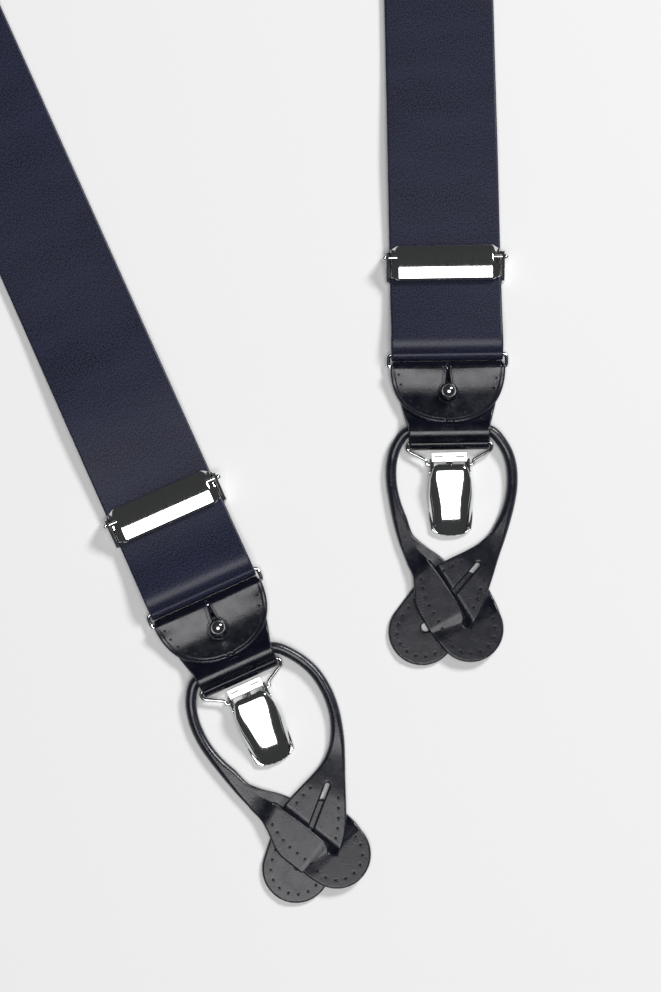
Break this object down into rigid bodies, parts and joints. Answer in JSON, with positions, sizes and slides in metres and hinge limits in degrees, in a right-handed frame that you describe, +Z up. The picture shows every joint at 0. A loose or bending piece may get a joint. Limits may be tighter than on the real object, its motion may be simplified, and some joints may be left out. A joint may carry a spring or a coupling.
{
  "type": "suspenders",
  "caption": "Y-back dress suspenders laid flat: satin straps, leather patch, metal adjusters, ball-stud flaps, lever clips and rolled leather button loops.",
  "frame": {"origin": "middle of the leather back patch, on its underside, on the table", "axes": "+Z up from the table through the front side; the two front straps run from the patch towards -Y and +X, the rear strap towards +Y and -X"},
  "size_m": [0.5783, 0.99, 0.0099],
  "materials": {
    "navy_satin": "satin-faced woven ribbon, soft sheen",
    "black_leather": "smooth fine-grain calf leather with painted edges",
    "chrome_plate": "bright polished chrome plate",
    "grip_rubber": "moulded matt grip pad"
  },
  "bodies": {
    "root": {"back_patch_front": "black_leather", "back_patch_lining": "black_leather", "right_strap": "navy_satin", "left_strap": "navy_satin", "rear_strap": "navy_satin"},
    "right_strap_end": {"right_strap_loop": "navy_satin"},
    "right_adjuster": {"right_adjuster_frame": "chrome_plate", "right_adjuster_pin": "chrome_plate", "right_strap_tail": "navy_satin"},
    "right_adjuster_lever": {"right_adjuster_plate": "chrome_plate"},
    "right_end": {"right_ring": "chrome_plate", "right_tab": "black_leather", "right_stud": "chrome_plate"},
    "right_flap_body": {"right_flap": "black_leather"},
    "right_bail_body": {"right_bail": "chrome_plate"},
    "right_clip_body": {"right_clip_base": "chrome_plate", "right_clip_pin": "chrome_plate", "right_clip_jaw": "grip_rubber"},
    "right_clip_lever": {"right_clip_cover": "chrome_plate"},
    "right_loop_body": {"right_button_loop": "black_leather"},
    "left_strap_end": {"left_strap_loop": "navy_satin"},
    "left_adjuster": {"left_adjuster_frame": "chrome_plate", "left_adjuster_pin": "chrome_plate", "left_strap_tail": "navy_satin"},
    "left_adjuster_lever": {"left_adjuster_plate": "chrome_plate"},
    "left_end": {"left_ring": "chrome_plate", "left_tab": "black_leather", "left_stud": "chrome_plate"},
    "left_flap_body": {"left_flap": "black_leather"},
    "left_bail_body": {"left_bail": "chrome_plate"},
    "left_clip_body": {"left_clip_base": "chrome_plate", "left_clip_pin": "chrome_plate", "left_clip_jaw": "grip_rubber"},
    "left_clip_lever": {"left_clip_cover": "chrome_plate"},
    "left_loop_body": {"left_button_loop": "black_leather"},
    "rear_end": {"rear_ring": "chrome_plate", "rear_tab": "black_leather", "rear_stud": "chrome_plate"},
    "rear_flap_body": {"rear_flap": "black_leather"},
    "rear_bail_body": {"rear_bail": "chrome_plate"},
    "rear_clip_body": {"rear_clip_base": "chrome_plate", "rear_clip_pin": "chrome_plate", "rear_clip_jaw": "grip_rubber"},
    "rear_clip_lever": {"rear_clip_cover": "chrome_plate"},
    "rear_loop_body": {"rear_button_loop": "black_leather"}
  },
  "joints": [
    {"name": "right_length_slide", "type": "slide", "parent": "root", "child": "right_strap_end", "axis": [-0.0157, 0.9999, 0], "range_m": [-0.008, 0.045]},
    {"name": "right_adjuster_slide", "type": "slide", "parent": "right_strap_end", "child": "right_adjuster", "axis": [-0.0157, 0.9999, 0], "range_m": [-0.008, 0.045]},
    {"name": "right_adjuster_plate_hinge", "type": "hinge", "parent": "right_adjuster", "child": "right_adjuster_lever", "pos_m": [0.33289, -0.5047, 0.0063], "axis": [-0.9999, -0.0157, 0], "range_deg": [0, 26]},
    {"name": "right_ring_swing", "type": "hinge", "parent": "right_strap_end", "child": "right_end", "pos_m": [0.33337, -0.53485, 0.0022], "axis": [-0.9999, -0.0157, 0], "range_deg": [-30, 60]},
    {"name": "right_flap_hinge", "type": "hinge", "parent": "right_end", "child": "right_flap_body", "pos_m": [0.33343, -0.5393, 0.00435], "axis": [-0.9999, -0.0157, 0], "range_deg": [0, 110]},
    {"name": "right_bail_swing", "type": "hinge", "parent": "right_end", "child": "right_bail_body", "pos_m": [0.33381, -0.5632, 0.0022], "axis": [-0.9999, -0.0157, 0], "range_deg": [-30, 50]},
    {"name": "right_clip_swing", "type": "hinge", "parent": "right_bail_body", "child": "right_clip_body", "pos_m": [0.33392, -0.5701, 0.0024], "axis": [-0.9999, -0.0157, 0], "range_deg": [-20, 25]},
    {"name": "right_clip_lever_hinge", "type": "hinge", "parent": "right_clip_body", "child": "right_clip_lever", "pos_m": [0.33396, -0.5727, 0.0033], "axis": [-0.9999, -0.0157, 0], "range_deg": [0, 85]},
    {"name": "right_loop_swing", "type": "hinge", "parent": "right_end", "child": "right_loop_body", "pos_m": [0.33376, -0.5597, 0.0032], "axis": [-0.9999, -0.0157, 0], "range_deg": [-30, 50]},
    {"name": "left_length_slide", "type": "slide", "parent": "root", "child": "left_strap_end", "axis": [-0.4115, 0.9114, 0], "range_m": [-0.008, 0.045]},
    {"name": "left_adjuster_slide", "type": "slide", "parent": "left_strap_end", "child": "left_adjuster", "axis": [-0.4115, 0.9114, 0], "range_m": [-0.008, 0.045]},
    {"name": "left_adjuster_plate_hinge", "type": "hinge", "parent": "left_adjuster", "child": "left_adjuster_lever", "pos_m": [0.24467, -0.58237, 0.0063], "axis": [-0.9114, -0.4115, 0], "range_deg": [0, 26]},
    {"name": "left_ring_swing", "type": "hinge", "parent": "left_strap_end", "child": "left_end", "pos_m": [0.25707, -0.60985, 0.0022], "axis": [-0.9114, -0.4115, 0], "range_deg": [-30, 60]},
    {"name": "left_flap_hinge", "type": "hinge", "parent": "left_end", "child": "left_flap_body", "pos_m": [0.2589, -0.61391, 0.00435], "axis": [-0.9114, -0.4115, 0], "range_deg": [0, 110]},
    {"name": "left_bail_swing", "type": "hinge", "parent": "left_end", "child": "left_bail_body", "pos_m": [0.26874, -0.63569, 0.0022], "axis": [-0.9114, -0.4115, 0], "range_deg": [-30, 50]},
    {"name": "left_clip_swing", "type": "hinge", "parent": "left_bail_body", "child": "left_clip_body", "pos_m": [0.27158, -0.64198, 0.0024], "axis": [-0.9114, -0.4115, 0], "range_deg": [-20, 25]},
    {"name": "left_clip_lever_hinge", "type": "hinge", "parent": "left_clip_body", "child": "left_clip_lever", "pos_m": [0.27265, -0.64435, 0.0033], "axis": [-0.9114, -0.4115, 0], "range_deg": [0, 85]},
    {"name": "left_loop_swing", "type": "hinge", "parent": "left_end", "child": "left_loop_body", "pos_m": [0.2673, -0.6325, 0.0032], "axis": [-0.9114, -0.4115, 0], "range_deg": [-30, 50]},
    {"name": "rear_ring_swing", "type": "hinge", "parent": "root", "child": "rear_end", "pos_m": [-0.1574, 0.20662, 0.0022], "axis": [0.7955, 0.606, 0], "range_deg": [-30, 60]},
    {"name": "rear_flap_hinge", "type": "hinge", "parent": "rear_end", "child": "rear_flap_body", "pos_m": [-0.1601, 0.21016, 0.00435], "axis": [0.7955, 0.606, 0], "range_deg": [0, 110]},
    {"name": "rear_bail_swing", "type": "hinge", "parent": "rear_end", "child": "rear_bail_body", "pos_m": [-0.17458, 0.22918, 0.0022], "axis": [0.7955, 0.606, 0], "range_deg": [-30, 50]},
    {"name": "rear_clip_swing", "type": "hinge", "parent": "rear_bail_body", "child": "rear_clip_body", "pos_m": [-0.17877, 0.23467, 0.0024], "axis": [0.7955, 0.606, 0], "range_deg": [-20, 25]},
    {"name": "rear_clip_lever_hinge", "type": "hinge", "parent": "rear_clip_body", "child": "rear_clip_lever", "pos_m": [-0.18034, 0.23673, 0.0033], "axis": [0.7955, 0.606, 0], "range_deg": [0, 85]},
    {"name": "rear_loop_swing", "type": "hinge", "parent": "rear_end", "child": "rear_loop_body", "pos_m": [-0.17246, 0.22639, 0.0032], "axis": [0.7955, 0.606, 0], "range_deg": [-30, 50]}
  ],
  "couplings": [
    {"joint": "right_adjuster_slide", "follows": "right_length_slide", "ratio": 1},
    {"joint": "left_adjuster_slide", "follows": "left_length_slide", "ratio": 1}
  ]
}
